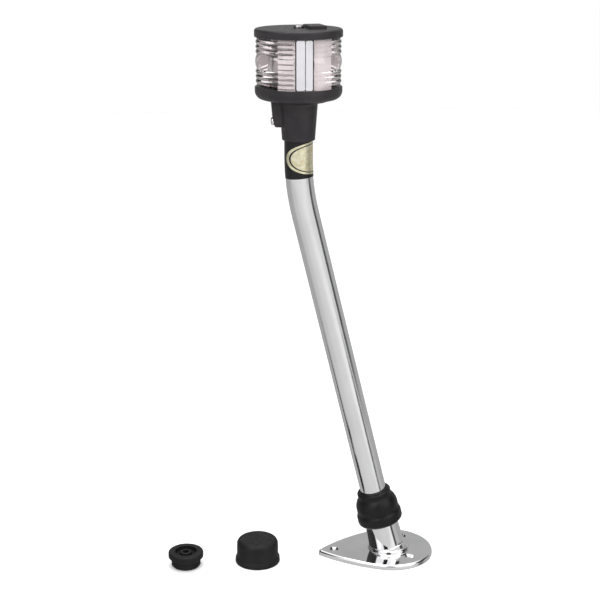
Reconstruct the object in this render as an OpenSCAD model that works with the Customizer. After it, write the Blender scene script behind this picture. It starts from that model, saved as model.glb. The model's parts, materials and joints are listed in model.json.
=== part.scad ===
// Navigation light: two lamp compartments on a raked plug-in pole, with a teardrop deck socket.
// The origin is where the socket's axis meets the deck; +Z is up and the teardrop points to -X.

/* [Pole] */
// Outside diameter of the tube
pole_d = 25.4; // [25.3:0.05:25.45]
// Wall of the tube
pole_wall = 1.2; // [1:0.1:1.5]
// Lean of the lower tube from the vertical, degrees
rake = 13.6; // [12:0.2:15]
// How far the upper, vertical tube stands forward of the socket
head_offset = 89.4; // [86:0.2:92]
// Centreline radius of the bend
bend_r = 225; // [200:5:250]

/* [Base] */
// Thickness of the flange
plate_t = 5; // [4.5:0.1:6]
// Radius of the round end
plate_r = 40.8; // [38:0.2:42]
// Centre of the round end
plate_x = 1.9; // [1:0.1:3]
// Where the pointed end stops
tip_x = -69.4; // [-70:0.2:-65]
// Radius of the pointed end
tip_r = 3.6; // [3.4:0.1:4.5]
// Where the round end passes into the flanks, degrees from +X
flank_start = 110; // [105:1:115]
// Rounding of the flange's upper edge
edge_r = 2.4; // [1.5:0.1:2.6]
// Diameter of a deck screw hole
deck_hole_d = 4.8; // [4.4:0.1:5]
// Diameter of its countersink
countersink_d = 9; // [8.5:0.1:9.4]
// Radius of the foot boss
boss_r = 19.8; // [19:0.1:20.5]
// Height of the foot boss
boss_top = 9; // [8.5:0.1:9.5]
// Fillet between the flange and the boss
boss_fillet = 1.6; // [1.2:0.1:1.8]

/* [Socket] */
// Radius of the socket just above the boss
socket_foot_r = 17.4; // [17:0.1:17.8]
// Radius of the socket below the collar
socket_top_r = 16.2; // [16:0.1:16.6]
// Length of the visible socket along its axis
socket_len = 35.2; // [35:0.1:35.4]
// Length up to the top of the threaded neck
neck_len = 58; // [57:0.5:58]

/* [Collar] */
// Bottom of the collar along the pole
collar_start = 35.8; // [35.8:0.1:36.4]
// Top of the collar along the pole
collar_end = 70.3; // [70:0.1:71]
// Greatest radius of the skirt
skirt_r = 21.9; // [21.6:0.1:22.2]
// Radius of the body above the skirt
collar_r = 20.5; // [20.2:0.1:20.8]
// Radius of the top ring
collar_ring_r = 16.4; // [16.2:0.1:16.6]

/* [Head] */
// Height of the neck's lower end
head_neck_z = 412; // [410:0.5:413]
// Height of the dish's rim
rim_z = 460; // [459:0.5:460.5]
// Radius of the dish
rim_r = 39; // [38.9:0.1:39.2]
// Radius of the lid
lid_r = 39.4; // [39.2:0.1:39.8]
// Height of the middle of the lens
lens_mid_z = 482.1; // [481.5:0.1:482.5]
// Radius of the lens between its ribs
lens_valley_r = 36.7; // [36.4:0.1:36.9]
// Radius at the top of a rib
lens_rib_r = 37.95; // [37.6:0.05:38.1]
// Spacing of the ribs
rib_pitch = 4.3; // [4.1:0.05:4.4]
// Width of a fore edge strip between the lenses
strip_fore_w = 7.9; // [7.5:0.1:8.1]
// Width of an aft edge strip
strip_aft_w = 6.6; // [6.2:0.1:7.2]
// Height of the lid's lower edge
lid_z = 503.5; // [503.4:0.1:504]
// Height of the lid's flat top
lid_top_z = 510.7; // [510.2:0.1:511]
// How far the lenses are turned from the base's long axis, degrees
head_turn = 3.6; // [0:0.2:6]
// Distance of each bulb from the head's axis
bulb_x = 22.5; // [22:0.1:23.5]

/* [Accessories] */
// Place of the loose socket plug
plug_at = [-200, -9.7]; // [-210:0.1:0]
// Place of the loose dust cap
cap_at = [-130.3, -6.5]; // [-140:0.1:0]

/* [Hidden] */
$fn = 96;

eps = 0.01;
seam = 0.002;                   // gap where one real part is drawn as two solids
running = 0.05;                 // radial clearance of a shaft that turns or slides
pole_r = pole_d / 2;
pole_bore_r = pole_r - pole_wall;
tangent_z = head_offset / tan(rake);
tangent_len = bend_r * tan(rake / 2);
bend_start = tangent_z / cos(rake) - tangent_len;   // along the lower axis
bend_end_z = tangent_z + tangent_len;
bend_centre_x = bend_r - head_offset;

contact_circle_r = 7.5;
pin_r = 1.4;
sleeve_r = 1.9;
block_start = 10;
block_end = 17;
pole_start = 17.5;
pole_top_z = 440.9;
neck_r = 14.8;
seal_start = 58.3;
seal_end = 62.7;
wire_r = 0.9;
wire_run_z = 452.4;
post_r = 4.2;                   // the post that takes the lid's screw

band_start_z = 379.5;
band_end_z = 412;
band_t = 0.25;

dish_floor_z = 451;
lens_foot_z = 453.5;
lens_top_z = 505.7;
lens_bore_r = 34.5;
lens_edge_r = 37.2;
bulge_half = 6.4;
bulge_r = 38.3;
rib_count = 3;
strip_gap = 0.3;
lens_gap = 0.8;                 // between a strip and the lens's straight edge
strip_r = 38.4;
reflector_r = 75;               // plan radius of the bowed screens
reflector_bow = 16.6;           // how far each screen stands from the head's axis
reflector_t = 1.5;
lampholder_r = 5.4;
lampholder_top_z = 465;
bulb_r = 4.45;
filament_z = 481.5;
boss_half_w = 6;
clamp_z = 429.2;
cap_screw_r = 2;
lid_under_z = 506.7;

// Points of an arc, from angle a to angle b.
function arc(cx, cy, r, a, b, n = 8) =
    [for (i = [0:n]) [cx + r * cos(a + (b - a) * i / n), cy + r * sin(a + (b - a) * i / n)]];

// Puts +Z along the raked lower pole.
module along_pole() {
    rotate([0, -rake, 0]) children();
}

// Moves to the axis of the head.
module at_head() {
    translate([-head_offset, 0, 0]) children();
}

// The fore compartment is the aft one turned half round.
module on_side(side) {
    at_head() rotate([0, 0, head_turn + (side == "fore" ? 180 : 0)]) children();
}

module round_each(n, r) {
    for (i = [0:n - 1])
        rotate([0, 0, 90 + 360 * i / n]) translate([r, 0, 0]) children();
}

// A ring about Z between two heights.
module ring(r_in, r_out, z0, z1) {
    rotate_extrude() translate([r_in, z0]) square([r_out - r_in, z1 - z0]);
}

// ---- base ----

// The flank's arc touches the round end at flank_start and the tip's circle inside.
flank_p = [plate_x + plate_r * cos(flank_start), plate_r * sin(flank_start)];
tip_c = [tip_x + tip_r, 0];
flank_n = [cos(flank_start), sin(flank_start)];
to_tip = tip_c - flank_p;
flank_r = (tip_r * tip_r - to_tip * to_tip) / (2 * (to_tip * flank_n + tip_r));
flank_c = flank_p - flank_r * flank_n;
flank_end = atan2(tip_c[1] - flank_c[1], tip_c[0] - flank_c[0]);

// The flange's outline, brought in by d.
function outline(d) = concat(
    arc(plate_x, 0, plate_r - d, -flank_start, flank_start, 56),
    arc(flank_c[0], flank_c[1], flank_r - d, flank_start + 1, flank_end, 12),
    arc(tip_c[0], 0, tip_r - d, flank_end + 6, 354 - flank_end, 8),
    [for (p = arc(flank_c[0], flank_c[1], flank_r - d, flank_end, flank_start + 1, 12)) [p[0], -p[1]]]);

// The flange is lofted through inset outlines, on a thin flat sole.
module flange() {
    sole = 0.2;
    edge = concat([[0, sole]], arc(edge_r, plate_t - edge_r, edge_r, 180, 90, 7));
    count = len(outline(0));
    points = [for (e = edge) for (p = outline(e[0])) [p[0], p[1], e[1]]];
    sides = [for (k = [0:len(edge) - 2]) for (i = [0:count - 1]) let (j = (i + 1) % count)
        [k * count + i, (k + 1) * count + i, (k + 1) * count + j, k * count + j]];
    top = (len(edge) - 1) * count;
    polyhedron(points, concat(sides,
        [[for (i = [0:count - 1]) i], [for (i = [count - 1:-1:0]) top + i]]));
    linear_extrude(1) polygon(outline(0.05));
}

module deck_hole(x, y) {
    translate([x, y, -1]) cylinder(d = deck_hole_d, h = plate_t + 2);
    sink = (countersink_d - deck_hole_d) / 2;
    translate([x, y, plate_t - sink])
        cylinder(d1 = deck_hole_d, d2 = countersink_d + 2, h = sink + 1);
}

module base_casting() {
    color("gainsboro") difference() {
        flange();
        translate([0, 0, -1]) cylinder(r = boss_r + boss_fillet + seam, h = plate_t + 2);
        deck_hole(-54.5, 0);
        for (side = [-1, 1]) deck_hole(16.5, side * 22);
    }
}

// The foot boss and the raked socket, which fill the flange's round opening.
module socket_casting() {
    color("gainsboro") difference() {
        union() {
            rotate_extrude() polygon(concat([[0, 0], [boss_r + boss_fillet, 0]],
                arc(boss_r + boss_fillet, plate_t + boss_fillet, boss_fillet, -90, -180),
                arc(boss_r - 1.4, boss_top - 1.4, 1.4, 0, 90), [[0, boss_top]]));
            along_pole() rotate_extrude() polygon(concat(
                [[0, plate_t + 1], [socket_foot_r, plate_t + 1]],
                arc(socket_foot_r + 1.2, 15.4, 1.4, -150, -180, 4),
                [[socket_top_r, socket_len - 3.2]],
                arc(socket_top_r - 0.8, socket_len - 0.8, 0.8, 0, 90, 5),
                [[neck_r, socket_len], [neck_r, neck_len - 1], [neck_r - 1, neck_len],
                [0, neck_len]]));
        }
        along_pole() translate([0, 0, -8]) cylinder(r = pole_r + running, h = neck_len + 20);
        translate([0, 0, -eps]) ring(15.5, 20.5, 0, 1.5 + eps);
    }
}

module deck_seal() {
    color("dimgray") ring(15.6, 20.4, 0, 1.5);
}

module contact_block() {
    color("black") along_pole() difference() {
        translate([0, 0, block_start]) cylinder(r = pole_r - 0.05, h = block_end - block_start);
        round_each(3, contact_circle_r) translate([0, 0, block_start - 1])
            cylinder(r = pin_r, h = block_end - block_start + 2);
        // keyway
        translate([pole_r - 2, -1.5, block_start - 1]) cube([4, 3, block_end - block_start + 2]);
    }
}

module contact_pins() {
    color("goldenrod") along_pole() round_each(3, contact_circle_r) {
        translate([0, 0, block_start - 1.5]) cylinder(r = pin_r, h = 18.5);
        translate([0, 0, block_start + 17]) cylinder(r1 = pin_r, r2 = pin_r / 2, h = 1);
    }
}

// ---- pole ----

// The straight raked stretch is a solid of its own, which ends a hair short of the bend.
module pole_tube() {
    color("silver") {
        along_pole() ring(pole_bore_r, pole_r, pole_start, bend_start - seam);
        translate([bend_centre_x, 0, bend_end_z]) rotate([90, 0, 0]) rotate([0, 0, 180])
            rotate_extrude(angle = rake) translate([bend_r, 0]) difference() {
                circle(r = pole_r);
                circle(r = pole_bore_r);
            }
        at_head() ring(pole_bore_r, pole_r, bend_end_z, pole_top_z);
    }
}

module pole_plug() {
    color("black") along_pole() difference() {
        translate([0, 0, pole_start]) cylinder(r = pole_bore_r - 0.02, h = 19);
        round_each(3, contact_circle_r) translate([0, 0, pole_start - 1])
            cylinder(r = sleeve_r, h = 21);
    }
}

module plug_contacts() {
    color("goldenrod") along_pole() round_each(3, contact_circle_r)
        difference() {
            translate([0, 0, pole_start]) cylinder(r = sleeve_r, h = 17);
            translate([0, 0, pole_start - 1]) cylinder(r = pin_r + 0.08, h = 15);
        }
}

// A tube of radius r along points; none of its stretches runs along Y.
module swept(points, r) {
    sides = 8;
    last = len(points) - 1;
    rings = [for (i = [0:last]) let (
        way = points[min(i + 1, last)] - points[max(i - 1, 0)],
        n = cross([0, 1, 0], way) / norm(cross([0, 1, 0], way)),
        m = cross(way, n) / norm(way))
        for (k = [0:sides - 1]) points[i] + r * (n * cos(k * 45) + m * sin(k * 45))];
    skins = [for (i = [0:last - 1]) for (k = [0:sides - 1]) let (j = (k + 1) % sides)
        [i * sides + k, (i + 1) * sides + k, (i + 1) * sides + j, i * sides + j]];
    polyhedron(rings, concat(skins, [[for (k = [0:sides - 1]) k],
        [for (k = [sides - 1:-1:0]) last * sides + k]]));
}

// A lead from the contact at angle a, up the pole and over the dish's floor to a place by a lamp
// holder, which is given on the head's own turned axes.
module lead(a, along, across) {
    x = along * cos(head_turn) - across * sin(head_turn);
    y = along * sin(head_turn) + across * cos(head_turn);
    dx = contact_circle_r * cos(a);
    dy = contact_circle_r * sin(a);
    turn_r = 2.5;
    over = [x - dx, y - dy] / norm([x - dx, y - dy]);
    function lower(s) = [dx * cos(rake) - s * sin(rake), dy, dx * sin(rake) + s * cos(rake)];
    swept(concat(
        [for (i = [0:4]) lower(pole_start + 17 + (bend_start - pole_start - 17) * i / 5)],
        [for (i = [0:5]) let (t = rake * (1 - i / 5))
            [bend_centre_x + (dx - bend_r) * cos(t), dy, bend_end_z + (dx - bend_r) * sin(t)]],
        [for (i = [0:6]) let (t = 15 * i, d = turn_r * (1 - cos(t)))
            [dx - head_offset + d * over[0], dy + d * over[1],
             wire_run_z - turn_r * (1 - sin(t))]],
        [[x - head_offset, y, wire_run_z]]), wire_r);
}

module wire_fore() {
    color("red") lead(210, 4.7 - bulb_x, -contact_circle_r / 2);
}

module wire_aft() {
    color("green") lead(330, bulb_x - 4.7, -contact_circle_r / 2);
}

module wire_common() {
    color("black") lead(90, 3.2 - bulb_x, 5);
}

// The jumper carries the common lead on to the second lamp holder.
module wire_link() {
    reach = bulb_x - 4.3;
    color("black") on_side("aft") translate([-reach, post_r + wire_r + 0.05, wire_run_z + 3.1])
        rotate([0, 90, 0]) cylinder(r = wire_r, h = 2 * reach);
}

// A point on the pole's skin: u is the height on the vertical part and follows the bend below it.
function skin(u, a, r) =
    u >= bend_end_z ? [r * cos(a) - head_offset, r * sin(a), u] :
    let (bend = (bend_end_z - u) / bend_r * 180 / PI)
    [bend_centre_x + (r * cos(a) - bend_r) * cos(bend), r * sin(a),
     bend_end_z + (r * cos(a) - bend_r) * sin(bend)];

module label_band() {
    low = (bend_end_z - band_start_z) / bend_r * 180 / PI;
    color("#202020") {
        at_head() ring(pole_r, pole_r + band_t, bend_end_z, band_end_z);
        translate([bend_centre_x, 0, bend_end_z]) rotate([90, 0, 0]) rotate([0, 0, 180])
            rotate_extrude(angle = low) translate([bend_r, 0]) difference() {
                circle(r = pole_r + band_t);
                circle(r = pole_r);
            }
    }
}

// The oval label is a thin skin, wrapped round the aft side of the band.
module foil_label() {
    half_h = 15.4;
    span = 152;
    mid = 395.3;
    cols = 48;
    rows = 4;
    r_in = pole_r + band_t + 0.03;
    layer = (cols + 1) * (rows + 1);
    function half(a) = half_h * sqrt(1 - pow(a / (span + 1), 2));
    points = [for (r = [r_in, r_in + 0.15]) for (i = [0:cols]) for (j = [0:rows])
        let (a = span * (2 * i / cols - 1)) skin(mid + half(a) * (2 * j / rows - 1), a, r)];
    function at(k, i, j) = k * layer + i * (rows + 1) + j;
    function split(q, facing) = [
        for (tri = [[q[0], q[1], q[2]], [q[0], q[2], q[3]]])
            facing ? tri : [tri[2], tri[1], tri[0]]];
    skins = [for (i = [0:cols - 1]) for (j = [0:rows - 1]) for (k = [0, 1])
        each split([at(k, i, j), at(k, i + 1, j), at(k, i + 1, j + 1), at(k, i, j + 1)], k == 0)];
    ends = [for (j = [0:rows - 1]) for (i = [0, cols])
        each split([at(0, i, j), at(0, i, j + 1), at(1, i, j + 1), at(1, i, j)], i == 0)];
    rims = [for (i = [0:cols - 1]) for (j = [0, rows])
        each split([at(0, i, j), at(1, i, j), at(1, i + 1, j), at(0, i + 1, j)], j == 0)];
    color("gold") polyhedron(points, concat(skins, ends, rims));
}

// ---- collar ----

module gland_seal() {
    color("dimgray") along_pole() ring(pole_r + running, 14.7, seal_start, seal_end);
}

module collar_nut() {
    bore_r = neck_r + 0.3;
    shoulder_r = 14.7;
    color("#242526") along_pole() rotate_extrude() polygon(concat(
        [[bore_r, collar_start]],
        arc(skirt_r - 3, collar_start + 3, 3, -90, 0, 6),
        arc(skirt_r - 6, collar_start + 7.5, 6, 0, 24, 4),
        [[collar_r - 0.7, collar_start + 11.8], [collar_r - 0.7, collar_start + 12.3]],
        [[collar_r, collar_start + 13.2]],
        arc(collar_r - shoulder_r, collar_start + 16.9, shoulder_r, 0, 43, 8),
        arc(collar_ring_r + 0.9, collar_end - 6.2, 1.1, -130, -180, 4),
        arc(collar_ring_r - 1, collar_end - 2.6, 1, 0, 90, 4),
        arc(14.9 - 0.9, collar_end - 0.9, 0.9, 0, 90, 4),
        [[pole_r + 1.2, collar_end], [pole_r + 0.08, collar_end - 2.2],
        [pole_r + 0.08, seal_end + 0.3], [bore_r, seal_end + 0.3]]));
}

// ---- head ----

module clamp_boss() {
    rotate([90, 0, 0]) linear_extrude(2 * boss_half_w, center = true)
        polygon(concat([[-14, 446.5], [-24.5, 446.5], [-23.4, 434], [-22.3, 426.6]],
            arc(-19.8, 426.6, 2.5, 180, 270, 6), [[-14, 424.1]]));
}

module head_base() {
    neck_foot_r = 15;
    post_top_z = 470;
    color("#3f4042") at_head() difference() {
        union() {
            rotate_extrude() polygon(concat(
                [[pole_r + running, head_neck_z]],
                arc(neck_foot_r - 0.8, head_neck_z + 0.8, 0.8, -90, 0, 4),
                [[neck_foot_r, head_neck_z + 2]],
                [[17.1, 442.6]],
                arc(20.1, 442.9, 3, 180, 92, 6),
                [[25.5, 446.8], [30.8, 448.6]],
                arc(rim_r - 7.4, 456.2, 7.4, -74, 0, 10),
                [[rim_r, rim_z - 0.4], [rim_r - 0.4, rim_z], [37.5, rim_z],
                [37.5, lens_foot_z - 0.1], [34, lens_foot_z - 0.1], [34, dish_floor_z],
                [10, dish_floor_z], [10, pole_top_z + 0.1], [pole_r + running, pole_top_z + 0.1]]));
            clamp_boss();
            translate([0, 0, 442]) cylinder(r = post_r, h = post_top_z - 442);
            for (a = [30, 150, 270])
                rotate([0, 0, a]) translate([3.6, -1.2, 443]) cube([7.4, 2.4, 7]);
        }
        translate([0, 0, head_neck_z - 1])
            cylinder(r = pole_r + running, h = pole_top_z - head_neck_z + 1.1);
        translate([0, 0, 450]) cylinder(r = cap_screw_r + 0.4, h = 30);
        translate([0, 0, post_top_z - 8]) cylinder(r = 3.1, h = 9);
        translate([0, 0, clamp_z]) rotate([0, -90, 0]) {
            translate([0, 0, 10]) cylinder(r = 2 + running, h = 20);
            translate([0, 0, 22.35]) cylinder(r = 3.9, h = 5);
        }
    }
}

// A slotted pan head, its flat underside at z = 0.
module pan_head(r, h, slot_w) {
    difference() {
        rotate_extrude() polygon(concat([[0, 0], [r, 0], [r, h * 0.45]],
            arc(r - h * 0.55, h * 0.45, h * 0.55, 0, 90, 6), [[0, h]]));
        translate([-r, -slot_w / 2, h * 0.5]) cube([2 * r, slot_w, h]);
    }
}

module clamp_screw() {
    color("silver") at_head() translate([0, 0, clamp_z]) rotate([0, -90, 0]) {
        translate([0, 0, 22.4]) pan_head(3.6, 2.5, 1);
        translate([0, 0, pole_r + 0.1]) cylinder(r = 2, h = 22.4 - pole_r - 0.1);
    }
}

module screw_insert() {
    color("goldenrod") at_head() ring(cap_screw_r + running, 3.1, 462, 470);
}

// A rib's section, or the hollow behind one: a parabola from foot_r to top_r and back.
function rib(mid, half, top_r, n, foot_r = lens_valley_r) =
    [for (i = [0:n]) let (t = 2 * i / n - 1)
        [foot_r + (top_r - foot_r) * (1 - t * t), mid + half * t]];

function strip_w(side) = side == "fore" ? strip_fore_w : strip_aft_w;

module lens(side) {
    gap = asin((strip_w(side) + lens_gap) / lens_edge_r);
    first = bulge_half + rib_pitch / 2;
    section = concat(
        [[lens_bore_r, lens_foot_z], [lens_edge_r, lens_foot_z], [lens_edge_r, 461.6]],
        [for (k = [rib_count - 1:-1:0])
            each rib(lens_mid_z - first - k * rib_pitch, rib_pitch / 2 - eps, lens_rib_r, 6)],
        rib(lens_mid_z, bulge_half - eps, bulge_r, 10),
        [for (k = [0:rib_count - 1])
            each rib(lens_mid_z + first + k * rib_pitch, rib_pitch / 2 - eps, lens_rib_r, 6)],
        [[lens_edge_r, 502.4], [lens_edge_r, lens_top_z], [lens_bore_r, lens_top_z]],
        rib(lens_mid_z, -bulge_half, lens_bore_r + 1.4, 10, lens_bore_r));
    color([0.86, 0.82, 0.86, 0.4]) on_side(side) rotate([0, 0, gap - 90])
        rotate_extrude(angle = 180 - 2 * gap) polygon(section);
}

module lens_fore() {
    lens("fore");
}

module lens_aft() {
    lens("aft");
}

// The section of a wall about the head's axis, cut by level grooves.
function comb(r_in, r_out, depth, half_groove) = concat(
    [[r_in, lens_foot_z], [r_out, lens_foot_z]],
    [for (k = [-5:5]) let (z = lens_mid_z + k * rib_pitch) each
        [[r_out, z - half_groove], [r_out - depth, z - half_groove],
         [r_out - depth, z + half_groove], [r_out, z + half_groove]]],
    [[r_out, lens_top_z], [r_in, lens_top_z]]);

// A bowed white screen with an edge strip at each end, which fills the gap between the lenses.
// Walls run on from the strips inside the lens: plain ones aft, and grooved ones fore.
module reflector(side) {
    height = lens_top_z - lens_foot_z;
    strip_end_x = strip_w(side);
    web_end_x = strip_end_x - 0.9;
    wall_x = side == "fore" ? strip_end_x + 0.7 : strip_gap;
    wall_end_x = side == "fore" ? 22 : 24;
    wall_r = lens_bore_r - 0.1;
    color("white") on_side(side) difference() {
        union() {
            translate([0, 0, lens_foot_z]) linear_extrude(height) intersection() {
                translate([reflector_bow - reflector_r, 0]) difference() {
                    circle(r = reflector_r, $fn = 180);
                    circle(r = reflector_r - reflector_t, $fn = 180);
                }
                translate([strip_gap, -50]) square(100);
                circle(r = lens_bore_r - 0.1);
            }
            intersection() {
                ring(33, lens_edge_r, lens_foot_z, lens_top_z);
                translate([strip_gap, -50, 400]) cube([web_end_x - strip_gap, 100, 200]);
            }
            intersection() {
                ring(36.7, strip_r, rim_z + 0.3, lid_z - 0.3);
                translate([strip_gap, -50, 400]) cube([strip_end_x - strip_gap, 100, 200]);
            }
            intersection() {
                rotate_extrude() polygon(side == "fore" ? comb(30, wall_r, 3.6, 0.5) :
                    [[33, lens_foot_z], [wall_r, lens_foot_z], [wall_r, lens_top_z],
                     [33, lens_top_z]]);
                translate([wall_x, -50, 400]) cube([wall_end_x - wall_x, 100, 200]);
            }
        }
        // room for the leads along the dish's floor
        translate([5, -9, lens_foot_z - 1]) cube([20, 18, 5]);
    }
}

module reflector_fore() {
    reflector("fore");
}

module reflector_aft() {
    reflector("aft");
}

module lampholder(side) {
    color("#202020") on_side(side) translate([bulb_x, 0, 0]) difference() {
        union() {
            translate([0, 0, dish_floor_z])
                cylinder(r = lampholder_r, h = lampholder_top_z - dish_floor_z);
            translate([0, 0, dish_floor_z + 3]) ring(lampholder_r - 1, lampholder_r + 0.5, 0, 2);
        }
        translate([0, 0, 455]) cylinder(r = bulb_r + 0.1, h = 20);
    }
}

module lampholder_fore() {
    lampholder("fore");
}

module lampholder_aft() {
    lampholder("aft");
}

module bulb_base(side) {
    color("goldenrod") on_side(side) translate([bulb_x, 0, 0]) {
        rotate_extrude() polygon(concat([[0, 455.2], [1.6, 455.2], [1.6, 456]],
            arc(bulb_r - 0.8, 456.8, 0.8, -90, 0, 4),
            [[bulb_r, 468.2], [bulb_r - 0.6, 469], [0, 469]]));
    }
}

module bulb_base_fore() {
    bulb_base("fore");
}

module bulb_base_aft() {
    bulb_base("aft");
}

module bulb_glass(side) {
    color([0.9, 0.93, 0.95, 0.4]) on_side(side) translate([bulb_x, 0, 0]) rotate_extrude()
        difference() {
            polygon(concat([[0, 469], [3.7, 469]],
                arc(4.2 - 1.6, 471.4, 2.1, -40, 0, 3),
                arc(0, 482.6, 4.7, 0, 90, 12)));
            polygon(concat([[0, 470], [3.1, 470]],
                arc(4.2 - 1.6, 471.6, 1.5, -30, 0, 3),
                arc(0, 482.6, 4.1, 0, 90, 12)));
        }
}

module bulb_glass_fore() {
    bulb_glass("fore");
}

module bulb_glass_aft() {
    bulb_glass("aft");
}

// Two support wires on a glass bead and a straight coil between them.
module filament(side) {
    color("gray") on_side(side) translate([bulb_x, 0, 0]) {
        translate([0, 0, 470]) cylinder(r = 1.6, h = 2.5);
        for (s = [-1, 1]) translate([0, s * 1.2, 472]) cylinder(r = 0.2, h = filament_z - 472);
        translate([0, 1.6, filament_z]) rotate([90, 0, 0]) cylinder(r = 0.35, h = 3.2);
    }
}

module filament_fore() {
    filament("fore");
}

module filament_aft() {
    filament("aft");
}

// A rectangle with true round corners.
module round_rect(w, d, r) {
    for (s = [0, 1]) {
        size = s == 0 ? [w, d - 2 * r] : [w - 2 * r, d];
        square(size, center = true);
    }
    for (x = [-1, 1]) for (y = [-1, 1])
        translate([x * (w / 2 - r), y * (d / 2 - r)]) circle(r = r);
}

module top_cap() {
    pad_w = 15.6;
    pad_d = 24;
    pad_h = 2.9;
    color("#3f4042") at_head() {
        difference() {
            union() {
                rotate_extrude() polygon(concat(
                    [[0, lid_under_z], [37.6, lid_under_z], [37.6, lid_z], [lid_r - 0.1, lid_z]],
                    arc(lid_r - 2.5, lid_top_z - 2.4, 2.4, 0, 90),
                    [[0, lid_top_z]]));
                translate([14.2, -2, lid_top_z - 1]) rotate([0, 0, 10]) {
                    linear_extrude(pad_h + 0.4) round_rect(pad_w, pad_d, 1.6);
                    linear_extrude(pad_h + 1) round_rect(pad_w - 1.2, pad_d - 1.2, 1.2);
                }
            }
            translate([0, 0, lid_under_z - 5]) cylinder(r = cap_screw_r + running, h = 20);
        }
    }
}

module cap_gasket() {
    color("dimgray") at_head() ring(34.6, 37.4, lens_top_z + 0.1, lid_under_z);
}

module cap_screw() {
    color("silver") at_head() {
        translate([0, 0, lid_top_z + 0.05]) pan_head(4.5, 2.5, 1.2);
        translate([0, 0, 456]) cylinder(r = cap_screw_r, h = lid_top_z - 456 + 0.05);
    }
}

// ---- loose accessories ----

module socket_plug() {
    flange_r = 16.9;
    body_r = 14;
    ridge = 0.7;
    color("#26272b") translate([plug_at[0], plug_at[1], 0]) rotate_extrude() polygon(concat(
        [[0, 0], [body_r - 1.6, 0]],
        [for (k = [0:2]) each arc(body_r - ridge, 1.9 + 2.7 * k, ridge, -80, 80, 4)],
        [[body_r - ridge, 9]],
        arc(flange_r - 1.2, 10.2, 1.2, -90, 0, 4),
        arc(flange_r - 1.6, 13.4, 1.6, 0, 90, 5),
        [[10.6, 15]], arc(9.6, 11.8, 0.6, 0, -90, 3), arc(6.1, 11.8, 0.6, -90, -180, 3),
        [[5.5, 13.9], [4.9, 14.5], [3.4, 14.5], [3, 14.1], [3, 8], [0, 8]]));
}

module dust_cap() {
    skirt = 21.6;
    wall_r = 20;
    top = 23.4;
    color("#26272b") translate([cap_at[0], cap_at[1], 0]) rotate_extrude() polygon(concat(
        [[18, 0], [skirt - 0.6, 0]],
        arc(skirt - 0.6, 0.6, 0.6, -90, 0, 3),
        arc(skirt - 1.4, 3.8, 1.2, 0, 70, 4),
        arc(wall_r + 0.9, 6.1, 0.8, -120, -180, 3),
        arc(wall_r - 5, top - 5, 5, 0, 90, 10),
        [[0, top], [0, top - 3]], arc(16, top - 5, 2, 90, 0, 5)));
}

base_casting();
socket_casting();
deck_seal();
contact_block();
contact_pins();
pole_tube();
pole_plug();
plug_contacts();
wire_fore();
wire_aft();
wire_common();
wire_link();
label_band();
foil_label();
gland_seal();
collar_nut();
head_base();
clamp_screw();
screw_insert();
lens_fore();
lens_aft();
reflector_fore();
reflector_aft();
lampholder_fore();
lampholder_aft();
bulb_base_fore();
bulb_base_aft();
bulb_glass_fore();
bulb_glass_aft();
filament_fore();
filament_aft();
top_cap();
cap_gasket();
cap_screw();
socket_plug();
dust_cap();
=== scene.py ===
import json
import math

import bmesh
import bpy
from mathutils import Matrix, Vector


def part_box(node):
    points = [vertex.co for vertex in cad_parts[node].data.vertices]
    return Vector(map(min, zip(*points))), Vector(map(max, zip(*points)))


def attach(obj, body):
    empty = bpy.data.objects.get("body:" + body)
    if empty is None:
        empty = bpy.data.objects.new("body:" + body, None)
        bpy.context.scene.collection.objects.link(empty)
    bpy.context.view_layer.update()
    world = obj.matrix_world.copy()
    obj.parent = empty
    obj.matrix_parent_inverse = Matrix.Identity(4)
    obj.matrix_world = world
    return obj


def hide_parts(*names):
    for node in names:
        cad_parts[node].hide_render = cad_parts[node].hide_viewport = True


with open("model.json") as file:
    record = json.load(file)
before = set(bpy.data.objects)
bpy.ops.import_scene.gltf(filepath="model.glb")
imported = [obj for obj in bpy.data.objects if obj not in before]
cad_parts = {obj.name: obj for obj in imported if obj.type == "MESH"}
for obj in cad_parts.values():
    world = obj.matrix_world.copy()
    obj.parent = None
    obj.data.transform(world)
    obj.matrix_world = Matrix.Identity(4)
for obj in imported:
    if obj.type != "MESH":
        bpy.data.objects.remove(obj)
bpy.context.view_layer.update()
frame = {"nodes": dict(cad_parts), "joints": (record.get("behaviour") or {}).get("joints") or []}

MM = 0.001
NODES = frame["nodes"]

# ---- driving sizes, in millimetres ----


def box_mm(node):
    low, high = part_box(node)
    return low / MM, high / MM


def joint_axis(name):
    return Vector(next(j["axis"] for j in frame["joints"] if j["name"] == name))


lean = joint_axis("pole_unplug")
RAKE = math.atan2(-lean.x, lean.z)
base_low, base_high = box_mm("base_casting")
cap_low, cap_high = box_mm("top_cap")
HEAD_X = (cap_low.x + cap_high.x) / 2
LID_R = (cap_high.x - cap_low.x) / 2
tube_low, tube_high = box_mm("pole_tube")
POLE_R = (tube_high.y - tube_low.y) / 2
POLE_BORE_R = POLE_R - 1.2
POLE_START = 17.5
POLE_TOP = tube_high.z
BEND_R = 225
BASE_T = 5
NECK_FOOT_Z = box_mm("head_base")[0].z
LENS_FOOT_Z = box_mm("lens_fore")[0].z
LENS_TOP_Z = box_mm("lens_fore")[1].z
RIM_Z = LENS_FOOT_Z + 6.5
RIM_R = 39
HEAD_TURN = math.radians(3.6)
LID_Z = cap_low.z
LID_TOP_Z = LID_Z + 7.2
CLAMP_Z = sum(v.z for v in box_mm("clamp_screw")) / 2

RAKED = Matrix.Rotation(-RAKE, 4, "Y")
HEAD = Matrix.Translation((HEAD_X, 0, 0))


# ---- mesh helpers ----


def arc(cx, cy, r, start, end, count=10):
    """Points of an arc about (cx, cy), between two angles in degrees."""
    angles = (math.radians(start + (end - start) * i / count) for i in range(count + 1))
    return [(cx + r * math.cos(a), cy + r * math.sin(a)) for a in angles]


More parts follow.
